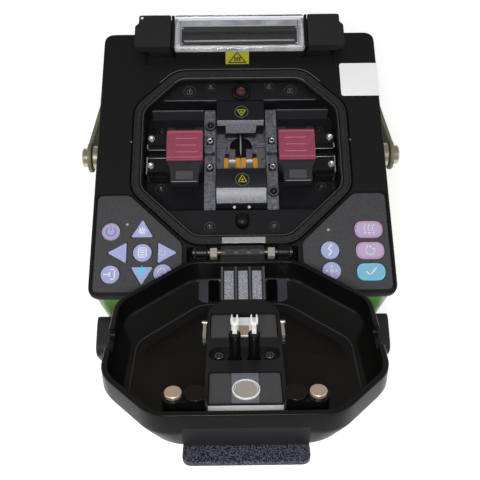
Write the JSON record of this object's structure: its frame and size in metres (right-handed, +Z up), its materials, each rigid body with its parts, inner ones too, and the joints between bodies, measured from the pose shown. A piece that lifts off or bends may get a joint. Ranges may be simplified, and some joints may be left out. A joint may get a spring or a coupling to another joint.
{
  "type": "fiber fusion splicer",
  "caption": "Portable optical fibre fusion splicer with a hinged wind cover, fibre clamps, tube heater, keypads, tilting monitor and carrying handle.",
  "frame": {"origin": "centre of the flat mounting pad under the base; the four feet reach 1 mm lower", "axes": "+Z up, +X to the operator's right, +Y away from the operator towards the tube heater"},
  "size_m": [0.1688, 0.2565, 0.1937],
  "materials": {
    "black_plastic": "fine textured moulded black",
    "cover_black": "glossy moulded black",
    "keypad_film": "fine grained dark grey film",
    "key_lavender": "matte lavender blue",
    "green_paint": "satin green paint",
    "olive_paint": "satin olive paint",
    "rubber": "matte",
    "black_metal": "black anodised, fine satin",
    "cast_metal": "mottled cast",
    "red_plate": "satin crimson",
    "steel": "brushed",
    "nickel": "bright nickel",
    "tungsten": "ground",
    "ceramic": "matte white",
    "clear_plastic": "clear moulded",
    "mirror": "polished",
    "screen": "dark glossy panel",
    "board": "green solder mask"
  },
  "bodies": {
    "body": {"base_plate": "black_plastic", "top_frame": "black_plastic", "keypad_left": "keypad_film", "keypad_right": "keypad_film", "housing": "green_paint", "gasket": "rubber", "foot_front_left": "rubber", "foot_rear_left": "rubber", "foot_front_right": "rubber", "foot_rear_right": "rubber", "chamber": "black_metal", "electrode_cover_rear": "black_metal", "electrode_cover_front": "black_metal", "stage_block": "cast_metal", "heater_base": "cast_metal", "cover_hinge_pin": "steel", "monitor_bracket": "steel", "handle_bolt_left": "nickel", "handle_bolt_right": "nickel", "handle_spacer_left": "nickel", "handle_spacer_right": "nickel", "electrode_rear": "tungsten", "electrode_front": "tungsten", "vgroove_left": "ceramic", "vgroove_right": "ceramic", "main_board": "board"},
    "wind_cover": {"cover_shell": "cover_black", "cover_bridge": "black_plastic", "cover_mirror_front": "mirror", "cover_mirror_rear": "mirror", "magnet_left": "nickel", "magnet_right": "nickel"},
    "presser_left": {"fibre_presser_left": "black_plastic"},
    "presser_right": {"fibre_presser_right": "black_plastic"},
    "fibre_stage_left": {"clamp_base_left": "black_metal"},
    "fibre_stage_right": {"clamp_base_right": "black_metal"},
    "fibre_lid_left": {"clamp_lid_left": "black_metal", "clamp_plate_left": "red_plate"},
    "fibre_lid_right": {"clamp_lid_right": "black_metal", "clamp_plate_right": "red_plate"},
    "heater_lid": {"heater_lid": "clear_plastic"},
    "heater_clamp_left": {"heater_clamp_left": "black_plastic"},
    "heater_clamp_right": {"heater_clamp_right": "black_plastic"},
    "handle": {"handle_bail": "olive_paint"},
    "monitor": {"monitor_housing": "black_plastic", "monitor_screen": "screen"},
    "battery": {"battery_module": "black_plastic"},
    "key_power": {"button_power": "key_lavender"},
    "key_up": {"button_up": "key_lavender"},
    "key_left": {"button_left": "key_lavender"},
    "key_menu": {"button_menu": "key_lavender"},
    "key_right": {"button_right": "key_lavender"},
    "key_exit": {"button_exit": "key_lavender"},
    "key_down": {"button_down": "key_lavender"},
    "key_zoom": {"button_zoom": "key_lavender"},
    "key_heat": {"button_heat": "key_lavender"},
    "key_reset": {"button_reset": "key_lavender"},
    "key_set": {"button_set": "key_lavender"},
    "key_arc": {"button_arc": "key_lavender"},
    "key_view": {"button_view": "key_lavender"}
  },
  "joints": [
    {"name": "wind_cover_hinge", "type": "hinge", "parent": "body", "child": "wind_cover", "pos_m": [0, -0.0545, 0.1295], "axis": [-1, 0, 0], "range_deg": [0, 144]},
    {"name": "presser_left_slide", "type": "slide", "parent": "wind_cover", "child": "presser_left", "axis": [0, -0.5878, -0.809], "range_m": [0, 0.002], "stiffness_N_per_m": 150},
    {"name": "presser_right_slide", "type": "slide", "parent": "wind_cover", "child": "presser_right", "axis": [0, -0.5878, -0.809], "range_m": [0, 0.002], "stiffness_N_per_m": 150},
    {"name": "fibre_stage_left_slide", "type": "slide", "parent": "body", "child": "fibre_stage_left", "axis": [-1, 0, 0], "range_m": [0, 0.001]},
    {"name": "fibre_lid_left_hinge", "type": "hinge", "parent": "fibre_stage_left", "child": "fibre_lid_left", "pos_m": [-0.0294, 0.0175, 0.1224], "axis": [1, 0, 0], "range_deg": [-100, 0]},
    {"name": "fibre_stage_right_slide", "type": "slide", "parent": "body", "child": "fibre_stage_right", "axis": [1, 0, 0], "range_m": [0, 0.001]},
    {"name": "fibre_lid_right_hinge", "type": "hinge", "parent": "fibre_stage_right", "child": "fibre_lid_right", "pos_m": [0.0294, 0.0175, 0.1224], "axis": [1, 0, 0], "range_deg": [-100, 0]},
    {"name": "heater_lid_hinge", "type": "hinge", "parent": "body", "child": "heater_lid", "pos_m": [0, 0.082, 0.1326], "axis": [1, 0, 0], "range_deg": [-95, 0]},
    {"name": "heater_clamp_left_hinge", "type": "hinge", "parent": "body", "child": "heater_clamp_left", "pos_m": [-0.047, 0.082, 0.1326], "axis": [1, 0, 0], "range_deg": [-95, 0]},
    {"name": "heater_clamp_right_hinge", "type": "hinge", "parent": "body", "child": "heater_clamp_right", "pos_m": [0.047, 0.082, 0.1326], "axis": [1, 0, 0], "range_deg": [-95, 0]},
    {"name": "handle_hinge", "type": "hinge", "parent": "body", "child": "handle", "pos_m": [0, 0.005, 0.117], "axis": [1, 0, 0], "range_deg": [0, 120]},
    {"name": "monitor_tilt", "type": "hinge", "parent": "body", "child": "monitor", "pos_m": [0, -0.0823, 0.095], "axis": [-1, 0, 0], "range_deg": [0, 90]},
    {"name": "battery_slide", "type": "slide", "parent": "body", "child": "battery", "axis": [0, 1, 0], "range_m": [0, 0.09]},
    {"name": "key_power_press", "type": "slide", "parent": "body", "child": "key_power", "axis": [0, 0, -1], "range_m": [0, 0.0008], "stiffness_N_per_m": 500},
    {"name": "key_up_press", "type": "slide", "parent": "body", "child": "key_up", "axis": [0, 0, -1], "range_m": [0, 0.0008], "stiffness_N_per_m": 500},
    {"name": "key_left_press", "type": "slide", "parent": "body", "child": "key_left", "axis": [0, 0, -1], "range_m": [0, 0.0008], "stiffness_N_per_m": 500},
    {"name": "key_menu_press", "type": "slide", "parent": "body", "child": "key_menu", "axis": [0, 0, -1], "range_m": [0, 0.0008], "stiffness_N_per_m": 500},
    {"name": "key_right_press", "type": "slide", "parent": "body", "child": "key_right", "axis": [0, 0, -1], "range_m": [0, 0.0008], "stiffness_N_per_m": 500},
    {"name": "key_exit_press", "type": "slide", "parent": "body", "child": "key_exit", "axis": [0, 0, -1], "range_m": [0, 0.0008], "stiffness_N_per_m": 500},
    {"name": "key_down_press", "type": "slide", "parent": "body", "child": "key_down", "axis": [0, 0, -1], "range_m": [0, 0.0008], "stiffness_N_per_m": 500},
    {"name": "key_zoom_press", "type": "slide", "parent": "body", "child": "key_zoom", "axis": [0, 0, -1], "range_m": [0, 0.0008], "stiffness_N_per_m": 500},
    {"name": "key_heat_press", "type": "slide", "parent": "body", "child": "key_heat", "axis": [0, 0, -1], "range_m": [0, 0.0008], "stiffness_N_per_m": 500},
    {"name": "key_reset_press", "type": "slide", "parent": "body", "child": "key_reset", "axis": [0, 0, -1], "range_m": [0, 0.0008], "stiffness_N_per_m": 500},
    {"name": "key_set_press", "type": "slide", "parent": "body", "child": "key_set", "axis": [0, 0, -1], "range_m": [0, 0.0008], "stiffness_N_per_m": 500},
    {"name": "key_arc_press", "type": "slide", "parent": "body", "child": "key_arc", "axis": [0, 0, -1], "range_m": [0, 0.0008], "stiffness_N_per_m": 500},
    {"name": "key_view_press", "type": "slide", "parent": "body", "child": "key_view", "axis": [0, 0, -1], "range_m": [0, 0.0008], "stiffness_N_per_m": 500}
  ]
}
